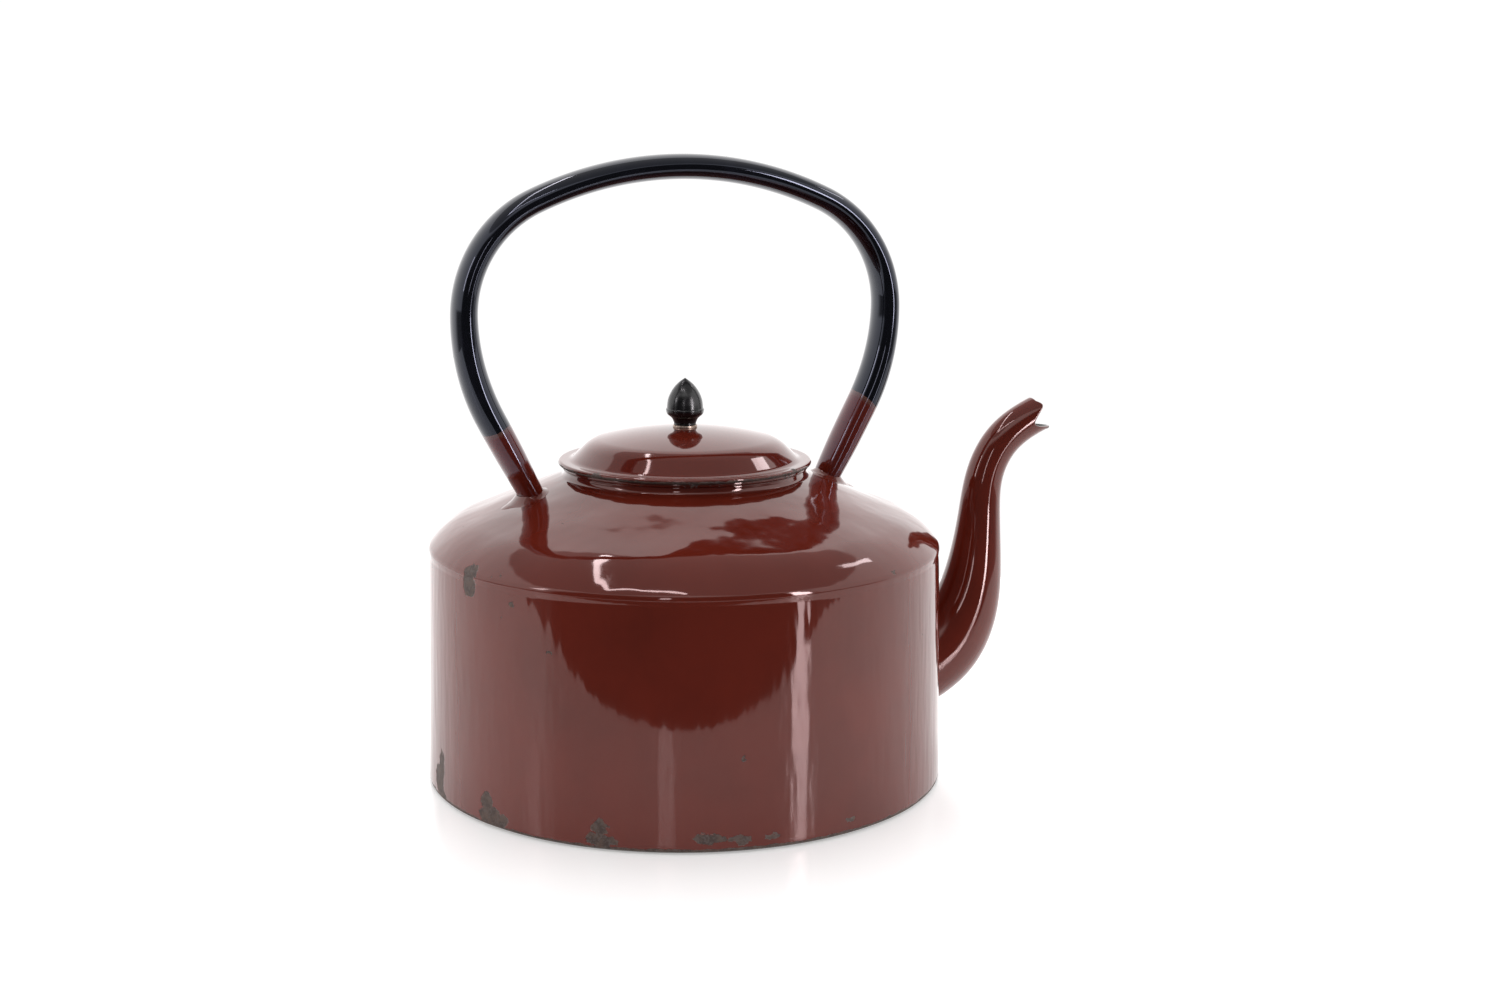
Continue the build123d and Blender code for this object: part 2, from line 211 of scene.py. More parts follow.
def between(tree, value, low, high):
    """0 where the value is at low, 1 where it is at high, and a soft step from one to the other."""
    inputs = {"Value": value, "From Min": low, "From Max": high}
    return add(tree, "MapRange", inputs, interpolation_type="SMOOTHSTEP").outputs[0]


def blotches(tree, place, size, low, high, **settings):
    """Patches of noise: 0 where it is under low, 1 where it is over high."""
    return between(tree, noise(tree, place, size, **settings), low, high)


def ranged(tree, value, low, high):
    """Carries a value from 0..1 to low..high."""
    return add(tree, "MapRange", {"Value": value, "To Min": low, "To Max": high}).outputs[0]


def bumped(tree, shader, height, distance=1.0):
    """Raises the shader's surface by a height times a distance in metres."""
    bump = add(tree, "Bump", {"Height": height, "Distance": distance})
    tree.links.new(bump.outputs[0], shader.inputs["Normal"])


def height_and_radius(tree, place):
    """Height above the floor, and distance from the kettle's axis."""
    flat = vector_maths(tree, "MULTIPLY", place, (1, 1, 0))
    return add(tree, "SeparateXYZ", {0: place}).outputs["Z"], vector_maths(tree, "LENGTH", flat)


def spots_mask(tree, place, spots):
    """1 inside any of the spots, whose edges are ragged. A spot is an ellipsoid: the angle in degrees,
    radius and height of its middle, and its half width round the kettle and half height."""
    ragged = noise(tree, place, 4.5, detail=4.0, roughness=0.62, output="Color")
    centred = vector_maths(tree, "SUBTRACT", ragged, (0.5, 0.5, 0.5))
    shaken = vector_maths(tree, "MULTIPLY_ADD", centred, (7 * MM,) * 3, place)
    nearest = None
    for angle, radius, height, half_width, half_height in spots:
        turn = radians(angle)
        inputs = {
            "Vector": shaken,
            "Location": (radius * cos(turn) * MM, radius * sin(turn) * MM, height * MM),
            "Rotation": (0, 0, turn),
            "Scale": (max(half_width, 3) * MM, half_width * MM, half_height * MM),
        }
        inside = add(tree, "Mapping", inputs, vector_type="TEXTURE").outputs[0]
        distance = vector_maths(tree, "LENGTH", inside)
        if nearest is not None:
            distance = maths(tree, "MINIMUM", nearest, distance)
        nearest = distance
    return between(tree, nearest, 1.0, 0.9)


BROWN = "#622015"
GLOSS = 0.045                 # fired enamel is as smooth as glass
ENAMEL_STEP = 0.22            # the coat's thickness, seen at the edge of a chip


def gloss_enamel(name, bare, wave, glaze=None, drawn_out=1.0):
    """Vitreous enamel on sheet steel: glassy and slightly wavy, with pinholes and faint clouds in its colour.
    Where it is chipped the eye sees a rough grey-brown oxide a step below the glaze. The wave is its length
    and depth."""
    material, tree, shader, place = new_material(name)
    clouds = blotches(tree, place, 45.0, 0.35, 0.75, detail=3.0)
    colour = glaze(tree, place) if glaze else mixed(tree, clouds, BROWN, "#581C12")
    pins = add(tree, "TexVoronoi", {"Vector": place, "Scale": 1 / (17 * MM)})
    rare = between(tree, add(tree, "SeparateColor", {0: pins.outputs["Color"]}).outputs[0], 0.7, 0.72)
    pinhole = maths(tree, "MULTIPLY", between(tree, pins.outputs["Distance"], 0.028, 0.016), rare)
    gone = maths(tree, "MAXIMUM", bare(tree, place), pinhole)
    rust = blotches(tree, place, 3.0, 0.42, 0.62, detail=5.0, roughness=0.7)
    oxide = mixed(tree, rust, "#332B27", "#54453B")
    scale = blotches(tree, place, 1.1, 0.5, 0.62, detail=3.0)
    crust = mixed(tree, scale, oxide, "#4F4844")
    tree.links.new(mixed(tree, gone, colour, crust), shader.inputs["Base Color"])
    film = noise(tree, place, 22.0, detail=5.0)
    polish = ranged(tree, film, GLOSS * 0.6, GLOSS * 2)
    dull = add(tree, "Mix", {"Factor": gone, 2: polish, 3: 0.62}).outputs[0]
    tree.links.new(dull, shader.inputs["Roughness"])
    shader.inputs["IOR"].default_value = 1.56                   # a little above window glass
    shader.inputs["Specular Tint"].default_value = linear("#FFE2DE")
    size, depth = wave
    upright = add(tree, "Mapping", {"Vector": place, "Scale": (1, 1, drawn_out)}).outputs[0]
    broad = noise(tree, upright, size, detail=1.0)
    peel = noise(tree, place, 2.4, detail=1.0)
    grit = noise(tree, place, 0.7, detail=2.0)
    height = maths(tree, "MULTIPLY", broad, depth * MM)
    height = maths(tree, "MULTIPLY_ADD", peel, 0.0006 * MM, height)
    pit = maths(tree, "MULTIPLY_ADD", grit, 0.10 * MM, -ENAMEL_STEP * MM)
    height = maths(tree, "MULTIPLY_ADD", gone, pit, height)
    bumped(tree, shader, height)
    return material


def ground_enamel():
    """The grey ground coat inside: the same glass without the brown coat over it, freckled and duller with
    scale."""
    material, tree, shader, place = new_material("grey_ground_enamel")
    freckles = blotches(tree, place, 1.6, 0.55, 0.66, detail=2.0)
    scale = blotches(tree, place, 30.0, 0.4, 0.7, detail=4.0)
    ground = mixed(tree, freckles, "#5A5E62", "#7B7F81")
    tree.links.new(mixed(tree, scale, ground, "#6C655B"), shader.inputs["Base Color"])
    tree.links.new(ranged(tree, scale, 0.16, 0.42), shader.inputs["Roughness"])
    bumped(tree, shader, scale, 0.08 * MM)
    return material


# Angle, radius, height, half width and half height of each chip: a lower, wider one under a small peak.
DRUM_CHIPS = (
    (-176, 121.5, 9, 6.2, 7.5), (-174, 121.5, 17, 3.4, 7.0), (-173, 121.8, 2.5, 3.5, 3.5),
    (-152, 121.8, 5.0, 10.5, 4.6), (-154, 121.6, 11.5, 4.6, 5.2),
    (-125, 121.9, 5.0, 8.4, 3.0), (-125.5, 121.7, 11.0, 4.2, 3.6),
    (-103, 121.8, 7.0, 8.0, 2.6), (-97, 121.8, 6.2, 5.5, 2.2), (-90, 121.8, 6.4, 3.0, 1.4),
    (-71.5, 121.8, 7.6, 2.6, 1.1), (-160, 120.2, 107.6, 4.8, 6.2),
    (-146, 120.2, 103, 0.9, 0.9), (-96, 121.2, 42, 0.7, 0.8), (-136.7, 120.6, 85, 1.3, 0.9),
    (-20, 121.8, 5.0, 9.0, 3.4), (35, 121.8, 4.0, 12.0, 3.0), (66, 121.8, 6.0, 5.0, 4.6),
    (112, 121.8, 5.0, 9.0, 4.0), (109, 121.7, 10.5, 4.0, 4.0), (148, 120.3, 109, 4.0, 2.0),
)
FOOT_WEAR = 0.7               # mean height of the bare edge all round the foot


def drum_bare(tree, place):
    """Chips, and the lower edge, bare where the height is less than a few millimetres of noise."""
    height, _ = height_and_radius(tree, place)
    edge = noise(tree, place, 9.0, detail=4.0, roughness=0.6)
    limit = maths(tree, "MULTIPLY_ADD", edge, 3 * MM, (DRUM_FOOT + FOOT_WEAR - 1.5) * MM)
    below = maths(tree, "SUBTRACT", limit, height)
    worn = between(tree, below, 0.0, 0.3 * MM)
    return maths(tree, "MAXIMUM", worn, spots_mask(tree, place, DRUM_CHIPS))


drum_heights = DRUM_FOOT + (DRUM_TOP - DRUM_FOOT) * (1 - (1 - np.linspace(0, 1, DRUM_ROWS)) ** 1.8)
below_edge = DRUM_TOP - drum_heights
# The wall is nipped in just under the shoulder's edge, and comes out again slowly.
nip = 0.26 * np.clip(below_edge / 2.6, 0, 1) ** 1.4 * np.exp(-np.clip(below_edge - 2.6, 0, None) / 6)
drum_side = np.stack([drum_radius(drum_heights) - nip, drum_heights], axis=1)
drum_enamel = gloss_enamel("brown_enamel_drum", bare=drum_bare, wave=(5.0, 0.15), drawn_out=0.2)
lining = ground_enamel()
body_shell = put_together(
    "drum_wall",
    rippled(turned(thickened(drum_side, SHEET), DRUM_TURNS), 0.09, (3, 5, 8), 160.0),
    [drum_enamel, lining],
    inside=inner_face(drum_side),
)
fitted(body_shell, "kettle", "brown_enamel", "body_wall")

# ------------------------------------------------------------------
# Base. A shallow pan pressed from the same sheet, its flange welded inside the wall, so that only its rounded
# corner shows below the drum. The coat underneath is black with soot and worn to bare steel where it stands.
# ------------------------------------------------------------------
_, base_high = box_of("base_plate")
PAN_RADIUS = base_high[0]
PAN_CORNER = 2.5
PAN_DISH = 0.35               # the middle of the pan stands this far clear of the hob


def arc(centre, radius, start, end, steps):
    """Points on a circle in the outline's plane, from one angle in degrees to another."""
    angle = np.radians(np.linspace(start, end, steps))
    return np.stack([centre[0] + radius * np.cos(angle), centre[1] + radius * np.sin(angle)], axis=1)


def straight(start, end, steps):
    """Evenly spaced points from one end of a line to the other."""
    return np.linspace(start, end, steps)


def sooty_enamel():
    """Burnt enamel under the pan: matt black soot over glass, thinned to scratched grey steel towards the
    rim."""
    material, tree, shader, place = new_material("sooty_base_enamel")
    soot = blotches(tree, place, 26.0, 0.35, 0.7, detail=5.0, roughness=0.6)
    _, radius = height_and_radius(tree, place)
    wander = noise(tree, place, 12.0, detail=4.0)
    reach = maths(tree, "MULTIPLY_ADD", wander, 22 * MM, radius)
    worn = between(tree, reach, 122 * MM, 130 * MM)
    burnt = mixed(tree, soot, "#191514", "#2B211D")
    tree.links.new(mixed(tree, worn, burnt, "#5C5751"), shader.inputs["Base Color"])
    tree.links.new(ranged(tree, worn, 0.72, 0.42), shader.inputs["Roughness"])
    grit = noise(tree, place, 1.5, detail=4.0)
    bumped(tree, shader, grit, 0.12 * MM)
    return material


pan_under = np.vstack([
    np.stack([np.linspace(0, PAN_RADIUS - PAN_CORNER - 6, 30),
              PAN_DISH * np.cos(np.linspace(0, pi / 2, 30)) ** 2], axis=1),
    arc((PAN_RADIUS - PAN_CORNER, PAN_CORNER), PAN_CORNER, -90, 0, 12),
    straight((PAN_RADIUS, 4.0), (PAN_RADIUS - 0.15, base_high[2]), 4),
    straight((PAN_RADIUS - SHEET, base_high[2]), (PAN_RADIUS - SHEET, 4.0), 4),
])
pan_floor = np.vstack([
    arc((PAN_RADIUS - PAN_CORNER, PAN_CORNER), PAN_CORNER - SHEET, 0, -90, 10),
    straight((PAN_RADIUS - 10, SHEET + 0.02), (0, SHEET + PAN_DISH), 24),
])
pan_outline = np.vstack([pan_under, pan_floor])
base_pan = put_together(
    "base_pan", turned(pan_outline, 288), [sooty_enamel(), lining], inside=(len(pan_under), len(pan_outline))
)
fitted(base_pan, "kettle", "brown_enamel", "base_plate")

# ------------------------------------------------------------------
# Shoulder. One pressing that turns in sharply at the drum's edge, rises as a low cone and turns up into the
# neck. Its sheet was drawn and planished, so it is the waviest part and breaks reflections into ragged bands.
# ------------------------------------------------------------------
_, neck_high = box_of("shoulder_dome")
NECK_RADIUS = 57.0
EDGE_SLOPE, CONE_SLOPE = 52.0, 22.0
EDGE_BEND, CROWN_BEND, THROAT_BEND = 4.0, 42.0, 2.5


def bend(start, from_slope, to_slope, radius, steps):
    """Arc that runs inwards and upwards between two slopes in degrees: at the slope a it has moved by the
    radius times the change in sin a inwards and by the radius times the change in cos a upwards."""
    first = radians(from_slope)
    angle = np.linspace(first, radians(to_slope), steps)
    return np.stack([
        start[0] - radius * np.abs(sin(first) - np.sin(angle)),
        start[1] + radius * np.abs(cos(first) - np.cos(angle)),
    ], axis=1)


def joined(*runs):
    """Runs end to end, each without the point that it shares with the run before it."""
    return np.vstack([runs[0], *[run[1:] for run in runs[1:]]])


edge_run = bend((drum_radius(DRUM_TOP), DRUM_TOP), 90, EDGE_SLOPE, EDGE_BEND, 26)
crown_run = bend(edge_run[-1], EDGE_SLOPE, CONE_SLOPE, CROWN_BEND, 20)
throat_radius = NECK_RADIUS + THROAT_BEND * (1 - sin(radians(CONE_SLOPE)))
throat_height = crown_run[-1][1] + (crown_run[-1][0] - throat_radius) * tan(radians(CONE_SLOPE))
cone_run = straight(crown_run[-1], (throat_radius, throat_height), 36)
throat_run = bend(cone_run[-1], CONE_SLOPE, 90, THROAT_BEND, 14)
neck_run = straight(throat_run[-1], (NECK_RADIUS, neck_high[2]), 3)
shoulder_outline = joined(edge_run, crown_run, cone_run, throat_run, neck_run)


def beaten(grid, depth):
    """Lowers and raises each point by the depth times the mean of four slanted sines of its place, 26 to 48
    long, fading to nothing at the drum's edge and at the neck."""
    x, y, z = np.moveaxis(grid, -1, 0)
    reach = np.hypot(x, y)
    fade = np.clip((drum_radius(DRUM_TOP) - reach) / 14, 0, 1) * np.clip((reach - NECK_RADIUS - 4) / 12, 0, 1)
    waves = [
        np.sin(2 * pi * (x * cos(way) + y * sin(way)) / length + 2.1 * way)
        for way, length in ((0.3, 48), (1.3, 31), (2.2, 39), (2.9, 26))
    ]
    return np.stack([x, y, z + depth * fade * np.mean(waves, axis=0)], axis=-1)


def shoulder_bare(tree, place):
    """A chip that runs over the drum's edge, small ones at the feet of the handle, and pits near the rim."""
    return spots_mask(tree, place, (
        (-160, 119.2, 112.6, 5.0, 3.8), (-58, 117.5, 113.6, 1.8, 0.8), (-150, 116, 115, 0.9, 0.8),
        (178, 86, 130, 2.6, 1.0), (-172, 83, 131, 1.6, 0.9), (120, 118.5, 113.5, 4.5, 1.6),
        (40, 119, 113, 3.5, 1.4), (5, 90, 128.5, 2.5, 1.2),
    ))


shoulder_enamel = gloss_enamel("brown_enamel_shoulder", bare=shoulder_bare, wave=(12.0, 0.22))
shoulder = put_together(
    "shoulder",
    beaten(turned(thickened(shoulder_outline, SHEET), DRUM_TURNS), 0.36),
    [shoulder_enamel, lining],
    inside=inner_face(shoulder_outline),
)
fitted(shoulder, "kettle", "brown_enamel", "shoulder_dome")

# ------------------------------------------------------------------
# Neck collar. A short lining tube pressed into the neck, its top edge rolled outwards over the neck's edge
# into the bead on which the lid stands.
# ------------------------------------------------------------------
collar_low, collar_high = box_of("neck_collar")
BEAD_RADIUS = 1.35
bead_centre = (collar_high[0] - BEAD_RADIUS, collar_high[2] - BEAD_RADIUS)
COLLAR_OUTER, COLLAR_INNER = 55.75, 54.75

collar_outline = np.vstack([
    straight((COLLAR_OUTER, collar_low[2] + 0.2), (COLLAR_OUTER, bead_centre[1] - 0.9), 6),
    arc(bead_centre, BEAD_RADIUS, -130, 130, 26),
    straight((COLLAR_INNER + 0.25, collar_high[2] - 0.6), (COLLAR_INNER, collar_high[2] - 1.4), 3),
    straight((COLLAR_INNER, collar_high[2] - 2), (COLLAR_INNER, collar_low[2]), 8),
])


def rim_bare(tree, place):
    """Worn streaks along a rolled edge: bare where fine noise drawn out round the axis passes a threshold."""
    streaks = noise(tree, place, 2.6, detail=5.0, roughness=0.7)
    patches = noise(tree, place, 19.0, detail=2.0)
    both = maths(tree, "MULTIPLY_ADD", patches, 0.55, streaks)
    return between(tree, both, 0.86, 0.92)


collar_enamel = gloss_enamel("brown_enamel_collar", bare=rim_bare, wave=(6.0, 0.02))
collar = put_together("neck_bead", turned(collar_outline, 288), [collar_enamel])
fitted(collar, "kettle", "brown_enamel", "neck_collar")

# ------------------------------------------------------------------
# Spout. Two pressed halves welded into a swan neck, tall oval where it leaves the drum and round above, its
# mouth cut to a drooping beak with a notch at each side. The enamel runs over the weld at its root in a
# smooth fillet.
# ------------------------------------------------------------------
# Centre x and z, half height in the plane of the bend and half width across it.
SPOUT_STATIONS = np.array([
    (104.0, 33.0, 20.5, 18.5), (118.0, 39.0, 20.3, 18.3), (135.0, 49.5, 19.6, 17.8),
    (147.0, 68.0, 16.9, 15.8), (152.2, 92.0, 13.2, 13.0), (153.9, 115.0, 10.5, 10.5),
    (156.7, 136.0, 9.2, 9.2), (165.6, 151.9, 9.0, 9.0), (185.5, 164.6, 9.0, 8.9), (198.0, 169.6, 9.0, 8.8),
])
ROOT_FILLET = 5.0
AROUND = 112
LONG = 190


def curve_through(stations, steps):
    """Natural cubic spline through the rows of stations by the distance between them: its second
    derivatives solve the usual three-term equations, with none at either end. Returns the distances and the
    rows along it."""
    gaps = np.linalg.norm(np.diff(stations[:, :2], axis=0), axis=1)
    knots = np.concatenate([[0], np.cumsum(gaps)])
    slopes = np.diff(stations, axis=0) / gaps[:, None]
    system = np.eye(len(knots))
    inner = np.arange(1, len(knots) - 1)
    system[inner, inner - 1] = gaps[:-1]
    system[inner, inner] = 2 * (gaps[:-1] + gaps[1:])
    system[inner, inner + 1] = gaps[1:]
    right = np.zeros_like(stations)
    right[1:-1] = 6 * np.diff(slopes, axis=0)
    second = np.linalg.solve(system, right)
    at = np.linspace(0, knots[-1], steps)
    span = np.clip(np.searchsorted(knots, at, side="right") - 1, 0, len(gaps) - 1)
    gap = gaps[span][:, None]
    b = (at - knots[span])[:, None] / gap
    a = 1 - b
    bow = ((a ** 3 - a) * second[span] + (b ** 3 - b) * second[span + 1]) * gap ** 2 / 6
    return at, a * stations[span] + b * stations[span + 1] + bow


def tube(at, line, where, turn, shrink=0.0):
    """Oval section carried along a line in the XZ plane: centre + n h cos t + Y w sin t, where n is the
    line's normal, h and w the half sizes there less shrink, and t the turn. where is the distance along for
    each point."""
    heading = np.gradient(line[:, :2], axis=0)
    heading /= np.linalg.norm(heading, axis=1)[:, None]
    x, z, half_height, half_width, along_x, along_z = (
        np.interp(where, at, column) for column in (*line.T, *heading.T)
    )
    up = (half_height - shrink) * np.cos(turn)
    return np.stack([x - along_z * up, (half_width - shrink) * np.sin(turn), z + along_x * up], axis=-1)


def first_crossing(at, values):
    """For each column, the distance at which the values first turn positive, by a straight line between
    samples."""
    row = np.argmax(values > 0, axis=0)
    column = np.arange(values.shape[1])
    before, after = values[row - 1, column], values[row, column]
    return at[row - 1] + (at[row] - at[row - 1]) * before / (before - after)


spout_at, spout_line = curve_through(SPOUT_STATIONS, 1600)
spout_turn = np.linspace(0, 2 * pi, AROUND, endpoint=False)[None]
MOUTH_LEAN = radians(22.0)    # the spout's direction at its mouth
NOTCH_HEIGHT = 81.4           # the notch's place, measured square to that direction
NOTCH_REACH = 226.2           # and along it, then how much further the beak and the lip run
BEAK_REACH, BEAK_RISE = 8.4, 8.0
LIP_REACH, LIP_DROP = 10.6, 7.6
MOUTH_AFTER = 150.0           # the mouth is further along the spout than this


def mouth_reach(height):
    """How far the spout runs at a height across its mouth: least at the notch, then a soft step out to the
    beak above and a steepening slope out to the lip below."""
    above = np.clip((height - NOTCH_HEIGHT) / BEAK_RISE, 0, 1)
    below = np.clip((NOTCH_HEIGHT - height) / LIP_DROP, 0, 1.2)
    beak = BEAK_REACH * (above * above * (3 - 2 * above)) * (1 - 0.26 * np.clip((height - 87) / 4, 0, 1) ** 2)
    return NOTCH_REACH + beak + LIP_REACH * below ** 1.5


def spout_ends(shrink):
    """Distance along the spout, for each column, where it leaves the drum and where its mouth is cut. A
    section smaller by shrink leaves the drum's wall that far below its outside."""
    where = spout_at[:, None] + 0 * spout_turn
    points = tube(spout_at, spout_line, where, spout_turn + 0 * where, shrink)
    leaves = np.hypot(points[..., 0], points[..., 1]) - drum_radius(points[..., 2]) + shrink
    reach = points[..., 0] * cos(MOUTH_LEAN) + points[..., 2] * sin(MOUTH_LEAN)
    across = points[..., 2] * cos(MOUTH_LEAN) - points[..., 0] * sin(MOUTH_LEAN)
    past = np.where(spout_at[:, None] > MOUTH_AFTER, reach - mouth_reach(across), -1.0)
    return first_crossing(spout_at, leaves), first_crossing(spout_at, past)


root, mouth = spout_ends(0.0)
corner = tube(spout_at, spout_line, root[None], spout_turn)[0]
corner_angle = np.arctan2(corner[:, 1], corner[:, 0])
flat_corner = np.stack([corner_angle * drum_radius(corner[:, 2]), corner[:, 2]], axis=1)
edge_way = np.roll(flat_corner, -1, axis=0) - np.roll(flat_corner, 1, axis=0)
edge_way /= np.linalg.norm(edge_way, axis=1)[:, None]
outwards = np.stack([edge_way[:, 1], -edge_way[:, 0]], axis=1)
outwards *= np.sign(np.sum(outwards * (flat_corner - flat_corner.mean(axis=0)), axis=1))[:, None]
flat_foot = flat_corner + ROOT_FILLET * outwards
foot_radius = drum_radius(flat_foot[:, 1]) - 0.12
foot_angle = flat_foot[:, 0] / foot_radius
weld_foot = np.stack(
    [foot_radius * np.cos(foot_angle), foot_radius * np.sin(foot_angle), flat_foot[:, 1]], axis=1
)
weld_top = tube(spout_at, spout_line, root[None] + ROOT_FILLET, spout_turn)[0]
share = np.linspace(0, 1, 12)[:-1, None, None]
fillet = (1 - share) ** 2 * weld_foot + 2 * share * (1 - share) * corner + share ** 2 * weld_top
run = np.linspace(0, 1, LONG)[:, None]
fillet_end = root + ROOT_FILLET
lip_start = mouth - SHEET / 2
outside = tube(spout_at, spout_line, fillet_end + run * (lip_start - fillet_end), spout_turn)
roll = np.radians(np.linspace(-90, 90, 9)[1:-1, None])
lip_at = mouth - SHEET / 2 * (1 - np.cos(roll))
lip = tube(spout_at, spout_line, lip_at, spout_turn, SHEET / 2 * (1 + np.sin(roll)))
bore_root, _ = spout_ends(SHEET)
bore = tube(spout_at, spout_line, lip_start + run * (bore_root - lip_start), spout_turn, SHEET)
spout_grid = np.swapaxes(np.concatenate([fillet, outside, lip, bore]), 0, 1)


def spout_bare(tree, place):
    """The beak's tip and the lip's edge have lost their coat to knocks against cups."""
    return spots_mask(tree, place, (
        (0, 190.0, 170.0, 8.6, 6.5), (0, 193.5, 156.5, 8.0, 1.6), (0, 182.0, 162.0, 1.2, 3.0),
    ))


spout_enamel = gloss_enamel("brown_enamel_spout", bare=spout_bare, wave=(9.0, 0.02))
outer_columns = len(fillet) + len(outside) + len(lip) - 1
spout = put_together(
    "swan_neck_spout", spout_grid, [spout_enamel, lining], inside=(outer_columns, outer_columns + LONG)
)
fitted(spout, "kettle", "brown_enamel", "spout_left_half", "spout_right_half")

# The wall is opened for the spout: the bore's own surface, run on through the sheet, is cut out of it.
cutter_run = np.linspace(0, bore_root.max() + 14, 60)[:, None]
cutter_grid = tube(spout_at, spout_line, cutter_run + 0 * spout_turn, spout_turn + 0 * cutter_run, SHEET)
ends = cutter_grid[[0, -1]].mean(axis=1, keepdims=True) + 0 * cutter_grid[[0, -1]]
cutter_grid = np.swapaxes(np.concatenate([ends[:1], cutter_grid, ends[1:]]), 0, 1)
cutter = put_together("spout_hole_cutter", cutter_grid, [lining])
hole = body_shell.modifiers.new("spout_hole", "BOOLEAN")
hole.object = cutter
hole.operation = "DIFFERENCE"
hole.solver = "EXACT"
bpy.context.view_layer.update()
cut = bpy.data.meshes.new_from_object(body_shell.evaluated_get(bpy.context.evaluated_depsgraph_get()))
body_shell.modifiers.clear()
body_shell.data = cut
bpy.data.objects.remove(cutter)

# ------------------------------------------------------------------
# Handle. One flattened tube bent to a hoop of tangent arcs, drawn in towards its feet. The whole hoop is
# brown, and its middle, between the lines above the feet, was dipped once more in blue-black enamel to mark
# the hand's place.
# ------------------------------------------------------------------
_, handle_high = box_of("handle_tube")
HALF_THICKNESS, HALF_WIDTH = 6.4, 10.4
HANDLE_OFFSET = -1.5
HOOP_TOP = handle_high[2] - HALF_THICKNESS
TOP_BEND, CORNER_BEND, SIDE_BEND = 167.0, 56.4, 101.8
TOP_TURN, LEG_LEAN = radians(24.6), radians(27.5)
LEG_LENGTH = 44.0
FOOT_GAP = 0.1                # the tube is cut this far above the shoulder, inside its foot plates
TOP_HALF_THICKNESS = 5.9


def hoop_half(side):
    """Half the centreline from the top down, as runs of (x, z): three arcs that share their tangents, then
    the leg."""
    turn = np.linspace(0, TOP_TURN, 40)
    top = np.stack([TOP_BEND * np.sin(turn), HOOP_TOP - TOP_BEND * (1 - np.cos(turn))], axis=1)
    turn = np.linspace(TOP_TURN, pi / 2, 60)
    bent = np.stack([np.sin(turn) - sin(TOP_TURN), np.cos(turn) - cos(TOP_TURN)], axis=1)
    corner = top[-1] + CORNER_BEND * bent
    turn = np.linspace(0, LEG_LEAN, 50)
    side_run = corner[-1] - SIDE_BEND * np.stack([1 - np.cos(turn), np.sin(turn)], axis=1)
    foot = side_run[-1] - LEG_LENGTH * np.array([sin(LEG_LEAN), cos(LEG_LEAN)])
    half = joined(top, corner, side_run, straight(side_run[-1], foot, 40))
    return half * (side, 1) + (HANDLE_OFFSET, 0)


hoop = joined(hoop_half(-1)[::-1], hoop_half(1))
hoop_at = np.concatenate([[0], np.cumsum(np.linalg.norm(np.diff(hoop, axis=0), axis=1))])
from_foot = np.minimum(hoop_at, hoop_at[-1] - hoop_at)
FOOT_DRAW = 0.86              # the section's share of its full size at its foot
drawn = (1 - FOOT_DRAW) * np.clip((26 - from_foot) / 22, 0, 1) ** 1.5
# The tube is thinnest over the top, and its straight legs were flattened least.
swollen = TOP_HALF_THICKNESS + np.exp(-((from_foot - 46) / 38) ** 2)
hoop_line = np.column_stack([hoop, swollen * (1 - 0.6 * drawn), HALF_WIDTH * (1 - drawn)])
fine_at = np.linspace(0, hoop_at[-1], 2400)
fine_line = np.stack([np.interp(fine_at, hoop_at, column) for column in hoop_line.T], axis=1)


def shoulder_height(radius):
    """Height of the shoulder's outside at a distance from the axis."""
    return np.interp(radius, shoulder_outline[::-1, 0], shoulder_outline[::-1, 1])


def hoop_ends(shrink):
    """Distance along the hoop, for each column, where its two feet are cut."""
    where = fine_at[:, None] + 0 * spout_turn
    points = tube(fine_at, fine_line, where, spout_turn + 0 * where, shrink)
    clear = points[..., 2] - shoulder_height(np.hypot(points[..., 0], points[..., 1])) - FOOT_GAP
    start = first_crossing(fine_at, clear)
    stop = fine_at[-1] - first_crossing(fine_at, clear[::-1])
    return start, stop


start, stop = hoop_ends(0.0)
run = np.linspace(0, 1, 330)[:, None]
hoop_outside = tube(fine_at, fine_line, start + run * (stop - start), spout_turn)
start, stop = hoop_ends(SHEET)
hoop_inside = tube(fine_at, fine_line, stop + run * (start - stop), spout_turn, SHEET)
handle_grid = np.swapaxes(np.concatenate([hoop_outside, hoop_inside]), 0, 1)

# Ends of the black dip in the hoop's plane: a point on the line, and the way the line runs.
DIP_LINES = (((-88.9, 170.1), (11.2, 5.2)), ((90.3, 175.5), (-11.0, 9.9)))
BLACK = "#08080D"


